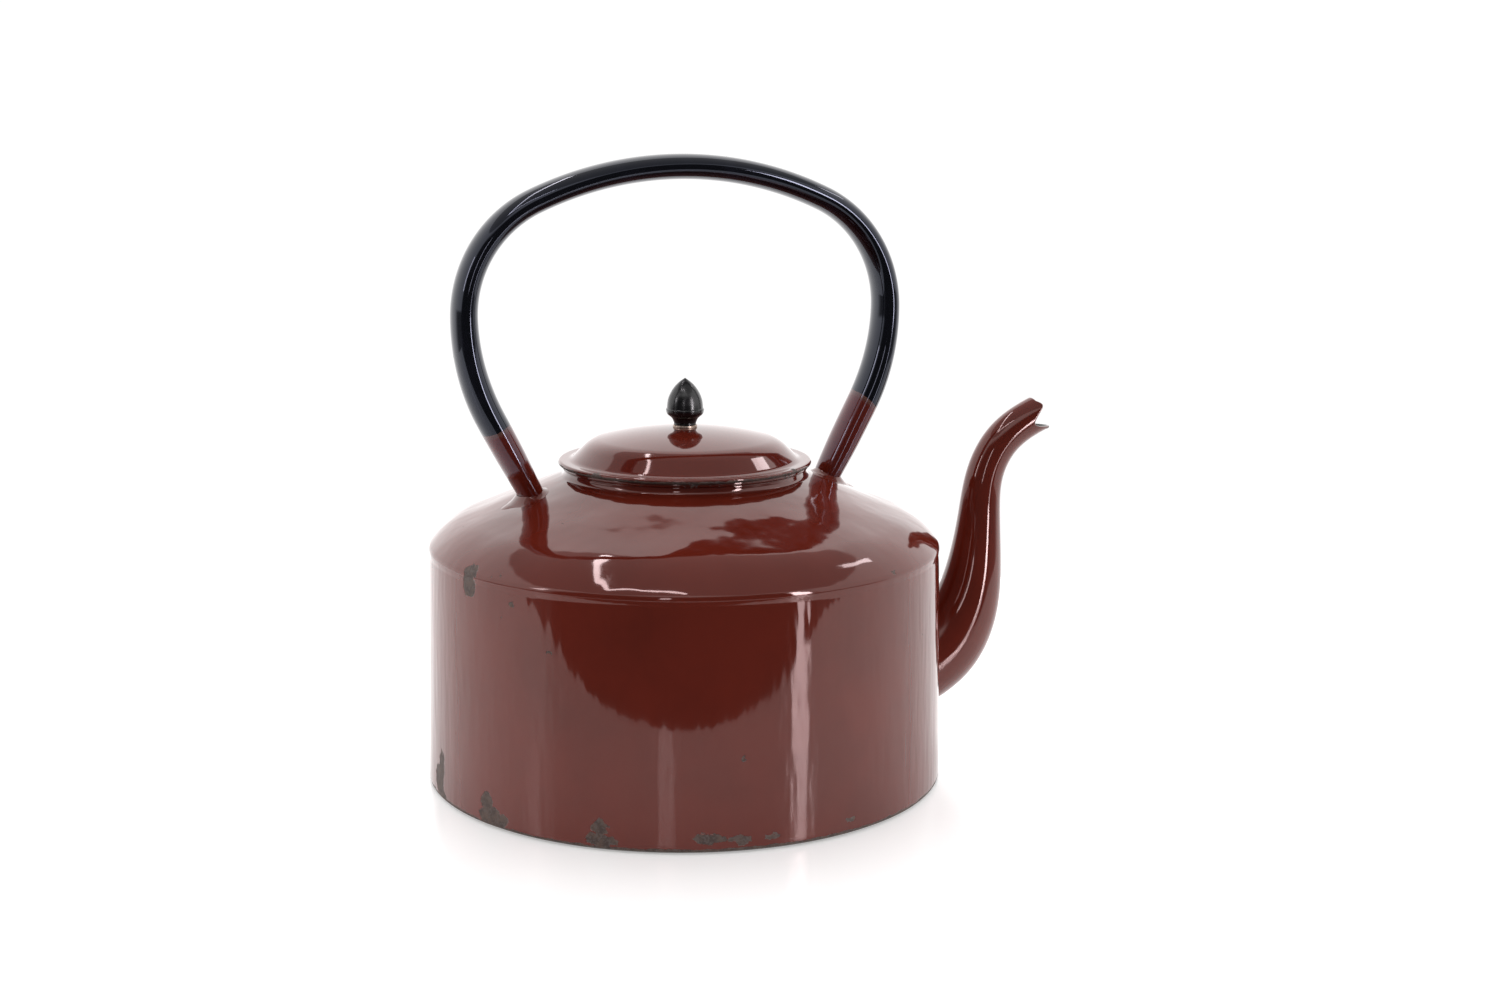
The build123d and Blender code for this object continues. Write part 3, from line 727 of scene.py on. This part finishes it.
def dipped_glaze(tree, place):
    """Black above the dip line of each side and brown below, the brown burnt paler where the two coats
    meet."""
    x, z = (add(tree, "SeparateXYZ", {0: place}).outputs[axis] for axis in ("X", "Z"))
    heights = []
    for (line_x, line_z), (way_x, way_z) in DIP_LINES:
        across = np.array([-way_z, way_x]) * (1 if way_x > 0 else -1) / np.hypot(way_x, way_z)
        part = maths(tree, "MULTIPLY_ADD", x, float(across[0]), -float(across @ (line_x, line_z)) * MM)
        heights.append(maths(tree, "MULTIPLY_ADD", z, float(across[1]), part))
    front = between(tree, x, -1 * MM, 1 * MM)
    height = add(tree, "Mix", {"Factor": front, 2: heights[0], 3: heights[1]}).outputs[0]
    wander = noise(tree, place, 5.0, detail=3.0)
    height = maths(tree, "MULTIPLY_ADD", wander, 1.6 * MM, height)
    burnt = between(tree, height, -2.6 * MM, 0.4 * MM)
    brown = mixed(tree, burnt, BROWN, "#6B4A42")
    worn = blotches(tree, place, 12.0, 0.5, 0.75, detail=4.0)
    black = mixed(tree, worn, BLACK, "#101018")
    return mixed(tree, between(tree, height, 0.6 * MM, 1.0 * MM), brown, black)


def handle_bare(tree, place):
    """Chips where the handle met the stove's rail, and at its feet where the weld cracked the coat."""
    return spots_mask(tree, place, (
        (180, 98.5, 182.5, 3.0, 3.6), (180, 105.8, 204, 2.0, 1.6), (0, 97.6, 196, 1.4, 1.4),
        (-6, 79.0, 137.0, 4.0, 2.6), (-174, 81.0, 136.0, 3.0, 1.6), (0, 20, 292, 2.5, 1.0),
    ))


handle_enamel = gloss_enamel("black_over_brown_enamel_handle", handle_bare, (16.0, 0.05), dipped_glaze)
handle_shader = handle_enamel.node_tree.nodes["Principled BSDF"]
handle_shader.inputs["Specular Tint"].default_value = linear("#C3CAE0")      # the black coat's blue cast
handle = put_together("hoop_handle", handle_grid, [handle_enamel])
fitted(handle, "kettle", "black_enamel", "handle_tube")

# ------------------------------------------------------------------
# Foot plates. A thin leaf of sheet under each leg, shaped to the shoulder and welded all round before the
# coat was fired, with a narrow tongue pointing outwards. The coat has cracked off the weld in places.
# ------------------------------------------------------------------
PLATE_THICKNESS = 0.9
PLATE_HALF_LENGTH, PLATE_HALF_WIDTH = 9.2, 12.6
TONGUE_REACH = 14.0
TONGUE_SPREAD = radians(24.0)
WELD_HEIGHT, WELD_REACH = 1.1, 2.6
PLATE_SINK = 0.5
foot_centres = [HANDLE_OFFSET + side * 74.3 for side in (-1, 1)]


def oval_reach(half_length, half_width, angle):
    """Distance from an ellipse's centre to its edge: a b divided by the hypotenuse of b cos t and a sin t."""
    return half_length * half_width / np.hypot(half_width * np.cos(angle), half_length * np.sin(angle))


def foot_plate(side, centre):
    """Rings from the tube's oval out to the leaf's edge, laid on the shoulder: the height above it is the
    plate's thickness, fading smoothly to its edge, plus a weld that falls away from the tube as the square
    of the distance."""
    angle = np.linspace(0, 2 * pi, 96, endpoint=False)[:, None]
    off = np.angle(np.exp(1j * angle)) if side > 0 else np.angle(np.exp(1j * (angle - pi)))
    leaf = oval_reach(PLATE_HALF_LENGTH, PLATE_HALF_WIDTH, angle)
    leaf = leaf + (TONGUE_REACH - PLATE_HALF_LENGTH) * np.exp(-(off / TONGUE_SPREAD) ** 2)
    leg = oval_reach(HALF_THICKNESS * 0.98, HALF_WIDTH * FOOT_DRAW, angle)
    step = np.linspace(0, 1, 22)[None]
    distance = leg - 1.2 + step * (leaf - leg + 1.2)
    weld = WELD_HEIGHT * np.clip(1 - (distance - leg) / WELD_REACH, 0, 1.4) ** 2
    above = PLATE_THICKNESS * (1 - step ** 3) ** 1.5 + weld - 0.05
    x = centre + distance * np.cos(angle)
    y = distance * np.sin(angle)
    base = shoulder_height(np.hypot(x, y))
    top = np.stack([x, y, base + above], axis=-1)
    under = np.stack([x, y, base - PLATE_SINK], axis=-1)[:, ::-1]
    return np.concatenate([top, under], axis=1)


def foot_bare(tree, place):
    """Bare along the weld and the tongue's edge, in patches."""
    patches = noise(tree, place, 6.5, detail=5.0, roughness=0.65)
    return between(tree, patches, 0.66, 0.70)


foot_enamel = gloss_enamel("brown_enamel_foot_plates", bare=foot_bare, wave=(5.0, 0.03))
for name, side, centre in zip(("handle_foot_rear", "handle_foot_front"), (-1, 1), foot_centres):
    plate = put_together(name + "_plate", foot_plate(side, centre), [foot_enamel])
    fitted(plate, "kettle", "brown_enamel", name)

# ------------------------------------------------------------------
# Lid. One pressing with a flat flange, a steep side and a low crown, its edge rolled under into a bead that
# has worn through to dark steel where it sits on the neck.
# ------------------------------------------------------------------
_, lid_high = box_of("lid_shell")
LID_SHEET = 1.1
LID_BEAD = 1.1
LID_TURNS = 320
LID_SEAT = 150.2
LID_SIDE, LID_CROWN_SLOPE = 45.0, 14.0
LID_ROOT_BEND, LID_SHOULDER_BEND = 4.0, 16.0
FLANGE_INNER = 55.2           # where the flange turns up into the side
SCREW_HOLE = 2.2
flange_top = LID_SEAT + LID_SHEET
lid_crown = lid_high[2]

root_run = bend((FLANGE_INNER, flange_top), 0, LID_SIDE, LID_ROOT_BEND, 12)
drop = LID_SHOULDER_BEND * (cos(radians(LID_CROWN_SLOPE)) - cos(radians(LID_SIDE)))
spread = LID_SHOULDER_BEND * (sin(radians(LID_SIDE)) - sin(radians(LID_CROWN_SLOPE)))
rise = lid_crown - root_run[-1][1] - drop
reach = root_run[-1][0] - spread
half_turn = tan(radians(LID_CROWN_SLOPE) / 2)
side_rise = (rise - reach * half_turn) / (1 - half_turn / tan(radians(LID_SIDE)))
side_end = root_run[-1] + (-side_rise / tan(radians(LID_SIDE)), side_rise)
lid_shoulder = bend(side_end, LID_SIDE, LID_CROWN_SLOPE, LID_SHOULDER_BEND, 20)
crown_radius = lid_shoulder[-1][0] / sin(radians(LID_CROWN_SLOPE))
hole_slope = degrees(np.arcsin(SCREW_HOLE / crown_radius))
crown_run = bend(lid_shoulder[-1], LID_CROWN_SLOPE, hole_slope, crown_radius, 34)
lid_top = joined(root_run, straight(root_run[-1], side_end, 4), lid_shoulder, crown_run)[::-1]
along = np.gradient(lid_top, axis=0)
along /= np.linalg.norm(along, axis=1)[:, None]
lid_under = (lid_top + LID_SHEET * np.stack([along[:, 1], -along[:, 0]], axis=1))[::-1]
bead = arc((lid_high[0] - LID_BEAD, flange_top - LID_BEAD), LID_BEAD, 90, -200, 30)
lid_rim = np.vstack([straight((FLANGE_INNER + 1, flange_top), (57.4, flange_top), 3), bead])
lid_outline = np.vstack([lid_top, lid_rim, straight((56.9, LID_SEAT), (55.4, LID_SEAT), 3), lid_under])


def lid_bare(tree, place):
    """The lower half of the rolled edge, bare by noise that grows towards the seat, and a few chips on its
    rim."""
    height, radius = height_and_radius(tree, place)
    patches = noise(tree, place, 5.0, detail=5.0, roughness=0.65)
    limit = maths(tree, "MULTIPLY_ADD", patches, 2.2 * MM, (LID_SEAT - 0.9) * MM)
    low = between(tree, maths(tree, "SUBTRACT", limit, height), 0.0, 0.15 * MM)
    rim = between(tree, radius, 56.5 * MM, 57 * MM)
    edge = maths(tree, "MULTIPLY", low, rim)
    chips = spots_mask(tree, place, (
        (-50, 59.2, 150.6, 2.0, 1.2), (-150, 59, 150.2, 3.0, 1.0), (80, 59, 151, 3.0, 1.2),
    ))
    return maths(tree, "MAXIMUM", edge, chips)


lid_enamel = gloss_enamel("brown_enamel_lid", bare=lid_bare, wave=(15.0, 0.03))
lid = put_together(
    "lid", rippled(turned(lid_outline, LID_TURNS), 0.10, (2, 3, 5), 90.0), [lid_enamel, lining],
    inside=(len(lid_top) + len(lid_rim), len(lid_outline)),
)
fitted(lid, "lid", "brown_enamel", "lid_shell")

# ------------------------------------------------------------------
# Lid skirt. A plain ring of sheet spot-welded under the flange, its lower edge turned in, that keeps the lid
# in the neck while the kettle pours.
# ------------------------------------------------------------------
skirt_low, skirt_high = box_of("lid_skirt")
SKIRT_OUTER = skirt_high[0]
skirt_side = np.vstack([
    straight((SKIRT_OUTER - 1.8, skirt_low[2]), (SKIRT_OUTER - 0.6, skirt_low[2]), 3),
    arc((SKIRT_OUTER - 0.6, skirt_low[2] + 0.6), 0.6, -75, 0, 6),
    straight((SKIRT_OUTER, skirt_low[2] + 1.4), (SKIRT_OUTER, skirt_high[2]), 8),
    straight((SKIRT_OUTER - 1, skirt_high[2]), (SKIRT_OUTER - 1, skirt_low[2] + 1.2), 8),
    straight((SKIRT_OUTER - 1.8, skirt_low[2] + 0.8), (SKIRT_OUTER - 1.8, skirt_low[2] + 0.3), 2),
])
skirt = put_together("lid_locating_ring", turned(skirt_side, 256), [lining])
fitted(skirt, "lid", "brown_enamel", "lid_skirt")

# ------------------------------------------------------------------
# Knob. An acorn turned from hard wood and painted satin black, the cup's ridge cut below the nut, drilled
# from beneath for its screw. Handling has polished its shoulder.
# ------------------------------------------------------------------
knob_low, knob_high = box_of("knob")
KNOB_RADIUS, KNOB_RIDGE, KNOB_TIP = knob_high[0], 174.6, knob_high[2]
KNOB_FOOT = knob_low[2]


def satin_black():
    """Satin black paint over turned wood: a soft broad sheen, faint turning lines, and a brown-grey bloom
    where it is rubbed."""
    material, tree, shader, place = new_material("satin_black_knob")
    rubbed = blotches(tree, place, 6.0, 0.45, 0.75, detail=4.0)
    tree.links.new(mixed(tree, rubbed, "#0D0B0F", "#171419"), shader.inputs["Base Color"])
    tree.links.new(ranged(tree, rubbed, 0.22, 0.34), shader.inputs["Roughness"])
    rings = add(tree, "TexWave", {"Vector": place, "Scale": 1 / (4.5 * MM), "Distortion": 0.6, "Detail": 2.0},
                bands_direction="Z")
    grain = noise(tree, place, 1.8, detail=1.0)
    height = maths(tree, "MULTIPLY_ADD", rings.outputs[1], 0.5, grain)
    bumped(tree, shader, height, 0.003 * MM)
    return material


nut_side = curve_through(np.array([
    (KNOB_RADIUS - 0.45, KNOB_RIDGE + 0.35), (8.1, 178.6), (6.1, 183.4), (2.6, 187.4), (0.0, KNOB_TIP),
]), 44)[1]
cup_side = curve_through(np.array([
    (5.2, KNOB_FOOT + 1.0), (6.4, 170.6), (8.4, 172.4), (KNOB_RADIUS, KNOB_RIDGE - 0.2),
]), 22)[1]
knob_outline = np.vstack([
    straight((0, KNOB_FOOT + 10), (2.0, KNOB_FOOT + 10), 3),
    straight((2.0, KNOB_FOOT + 9), (2.0, KNOB_FOOT), 4),
    straight((3.5, KNOB_FOOT), (5.1, KNOB_FOOT), 3),
    [(5.3, KNOB_FOOT + 0.2)],
    cup_side,
    [(KNOB_RADIUS - 0.12, KNOB_RIDGE + 0.12)],
    nut_side,
])
knob = put_together("acorn_knob", turned(knob_outline, 128), [satin_black()])
fitted(knob, "lid", "knob_black", "knob")

# ------------------------------------------------------------------
# Ferrule, washer and screw. A pale tinned disc between the knob and the lid, and the steel washer and slotted
# screw that pull the knob down from inside. The washer and the screw are the frame's own, with a metal's
# finish.
# ------------------------------------------------------------------
ferrule_low, ferrule_high = box_of("knob_ferrule")


def tarnished_steel(name, bright, dark, size):
    """Steel dulled by steam: grey with a brown bloom in patches, which are also rougher."""
    material, tree, shader, place = new_material(name)
    bloom = blotches(tree, place, size, 0.4, 0.68, detail=5.0, roughness=0.6)
    tree.links.new(mixed(tree, bloom, bright, dark), shader.inputs["Base Color"])
    tree.links.new(ranged(tree, bloom, 0.28, 0.6), shader.inputs["Roughness"])
    shader.inputs["Metallic"].default_value = 0.85
    scratches = noise(tree, place, 0.5, detail=3.0)
    bumped(tree, shader, scratches, 0.012 * MM)
    return material


FERRULE_RADIUS, FERRULE_HOLE = ferrule_high[0], SCREW_HOLE
ferrule_outline = np.vstack([
    straight((FERRULE_HOLE, ferrule_low[2] + 0.02), (FERRULE_RADIUS - 0.1, ferrule_low[2] - 0.1), 4),
    straight((FERRULE_RADIUS, ferrule_low[2]), (FERRULE_RADIUS, ferrule_high[2] - 0.4), 3),
    arc((FERRULE_RADIUS - 0.4, ferrule_high[2] - 0.4), 0.4, 15, 90, 6),
    straight((4.5, ferrule_high[2]), (FERRULE_HOLE, ferrule_high[2]), 3),
])
ferrule = put_together("knob_ferrule_disc", turned(ferrule_outline, 96),
                       [tarnished_steel("tinned_ferrule", "#B9A79A", "#7C675A", 2.5)])
fitted(ferrule, "lid", "bare_steel", "knob_ferrule")

fastener_steel = tarnished_steel("steam_dulled_steel", "#9A948C", "#5B4636", 3.0)
for node in ("screw_washer", "knob_screw"):
    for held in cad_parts[node].material_slots:
        held.material = fastener_steel

# ------------------------------------------------------------------
# Table, light and camera. A white painted table top that ends not far in front of the kettle, with a darker
# room beyond it, white walls all round, and narrow windows that draw the long thin highlights.
# ------------------------------------------------------------------
CAMERA_PLACE = Vector((-0.2987, -0.9192, 0.3153))
CAMERA_HEADING, CAMERA_PITCH, CAMERA_ROLL = radians(19.82), radians(10.785), radians(0.33)
ahead = Vector((
    sin(CAMERA_HEADING) * cos(CAMERA_PITCH), cos(CAMERA_HEADING) * cos(CAMERA_PITCH), -sin(CAMERA_PITCH),
))
level = Vector((cos(CAMERA_HEADING), -sin(CAMERA_HEADING), 0))
upright = level.cross(ahead)
across = level * cos(CAMERA_ROLL) + upright * sin(CAMERA_ROLL)
upward = upright * cos(CAMERA_ROLL) - level * sin(CAMERA_ROLL)
camera = bpy.data.objects.new("camera", bpy.data.cameras.new("camera"))
camera.data.lens = 50
camera.data.sensor_width = 36
camera_axes = Matrix((across, upward, -ahead)).transposed()
camera.matrix_world = Matrix.Translation(CAMERA_PLACE) @ camera_axes.to_4x4()
bpy.context.scene.collection.objects.link(camera)
bpy.context.scene.camera = camera

FRONT_ANGLE = -CAMERA_HEADING - pi / 2
# Edges of the table from the kettle's axis: in front, behind, to the right and to the left.
TABLE_EDGES = (-330.0, 415.0, 900.0, -900.0)


def white_table():
    """White satin paint on boards: bright, faintly brushed, its reflections soft."""
    material, tree, shader, place = new_material("white_painted_table")
    shader.inputs["Base Color"].default_value = linear("#F6F5F5")
    shader.inputs["Roughness"].default_value = 0.22
    shader.inputs["Emission Color"].default_value = linear("#FFFFFF")
    shader.inputs["Emission Strength"].default_value = 0.34
    brush = add(tree, "Mapping", {"Vector": place, "Scale": (1, 7, 1)}).outputs[0]
    strokes = noise(tree, brush, 22.0, detail=3.0)
    bumped(tree, shader, strokes, 0.10 * MM)
    return material


near, far, right, left = TABLE_EDGES
table_mesh = bpy.data.meshes.new("table_top")
table_mesh.from_pydata(
    [
        ((wide * cos(CAMERA_HEADING) + deep * sin(CAMERA_HEADING)) * MM,
         (deep * cos(CAMERA_HEADING) - wide * sin(CAMERA_HEADING)) * MM, 0)
        for wide, deep in ((left, near), (right, near), (right, far), (left, far))
    ],
    [], [(0, 1, 2, 3)],
)
table_mesh.materials.append(white_table())
table = bpy.data.objects.new("table_top", table_mesh)
bpy.context.scene.collection.objects.link(table)

# Light of the room around the table, before any window is added.
WALL_LIGHT = 1.6
CEILING_LIGHT = 0.62
DARK_SIDE = 0.10
UNDER_TABLE = 0.30
BACKDROP = 1.04
# Sine of the elevation where the walls end: ahead, its fall by the square of the sideways sine, the least.
WALL_TOP, WALL_FALL, LEAST_WALL_TOP = 0.85, 1.4, 0.70
world = bpy.data.worlds.new("studio")
world.use_nodes = True
bpy.context.scene.world = world
room = world.node_tree
way = add(room, "TexCoord").outputs["Generated"]
front = (cos(FRONT_ANGLE), sin(FRONT_ANGLE), 0.0)
facing = vector_maths(room, "DOT_PRODUCT", way, front)
rising = add(room, "SeparateXYZ", {0: way}).outputs["Z"]


def stepped(share, first, second):
    """One number where the share is 0, the other where it is 1."""
    return add(room, "Mix", {"Factor": share, 2: first, 3: second}).outputs[0]


sideways = vector_maths(room, "DOT_PRODUCT", way, (-front[1], front[0], 0.0))
square = maths(room, "MULTIPLY", sideways, sideways)
wall_top = maths(room, "MULTIPLY_ADD", square, -WALL_FALL, WALL_TOP)
wall_top = maths(room, "MAXIMUM", wall_top, LEAST_WALL_TOP)
over_wall = maths(room, "SUBTRACT", rising, wall_top)
strength = stepped(between(room, over_wall, -0.005, 0.015), WALL_LIGHT, CEILING_LIGHT)
in_front = between(room, facing, 0.42, 0.60)
dark_side = maths(room, "MULTIPLY", in_front, between(room, rising, 0.70, 0.56))
strength = stepped(dark_side, strength, DARK_SIDE)
under = stepped(between(room, facing, -0.35, 0.05), WALL_LIGHT, UNDER_TABLE)
under = stepped(in_front, under, DARK_SIDE)
strength = stepped(between(room, rising, 0.0, -0.03), strength, under)
strength = stepped(add(room, "LightPath").outputs["Is Camera Ray"], strength, BACKDROP)
backdrop = room.nodes["Background"]
room.links.new(strength, backdrop.inputs["Strength"])
backdrop.inputs["Color"].default_value = linear("#FFFEFE")


def lamp(name, place, towards, size, glow, spin=0.0):
    """A flat light at a place, facing another: the glow is its light per area and solid angle, and the spin
    turns its long side. Windows and tubes show only in the kettle's gloss, and the broad light only in its
    colours."""
    light = bpy.data.lights.new(name, "AREA")
    light.shape = "RECTANGLE"
    light.size, light.size_y = size
    light.energy = glow * pi * size[0] * size[1]
    light.color = (1.0, 0.95, 0.99)
    facing_way = (Vector(place) - Vector(towards)).to_track_quat("Z", "Y").to_matrix()
    made = bpy.data.objects.new(name, light)
    made.matrix_world = Matrix.Translation(place) @ (facing_way @ Matrix.Rotation(spin, 3, "Z")).to_4x4()
    made.visible_camera = False
    made.visible_diffuse = False
    bpy.context.scene.collection.objects.link(made)
    return made


def window(name, angle, distance, height, size, glow):
    """An upright window, at an angle in degrees from the front, positive to the right."""
    bearing = FRONT_ANGLE + radians(angle)
    place = (distance * cos(bearing), distance * sin(bearing), height)
    return lamp(name, place, (0, 0, height), size, glow)


window("right_window", 51, 1.5, 0.50, (0.19, 0.90), 24)
window("right_window_foot", 51, 1.5, -0.30, (0.12, 0.70), 7)
window("front_window", -6, 1.6, 0.60, (0.13, 0.60), 6)
window("left_window", -64, 1.6, 0.80, (0.16, 0.60), 8)
lamp("tube_long", (-0.425, 0.26, 1.42), (-0.425, 0.26, 0), (0.05, 1.29), 14, radians(-31.4))
lamp("tube_short", (-0.485, -0.47, 1.42), (-0.485, -0.47, 0), (0.66, 0.05), 14, radians(-33.2))
lamp("tube_right", (1.32, 0.25, 1.42), (1.32, 0.25, 0), (0.12, 0.50), 8, radians(-45))
broad = lamp("broad_ceiling_light", (0.25, 0.75, 1.7), (0, 0, 0.1), (1.6, 1.4), 1.7)
broad.data.color = (1.0, 1.0, 1.0)
broad.visible_diffuse = True
broad.visible_glossy = False

bpy.context.scene.view_settings.view_transform = "Standard"
bpy.context.scene.view_settings.look = "None"
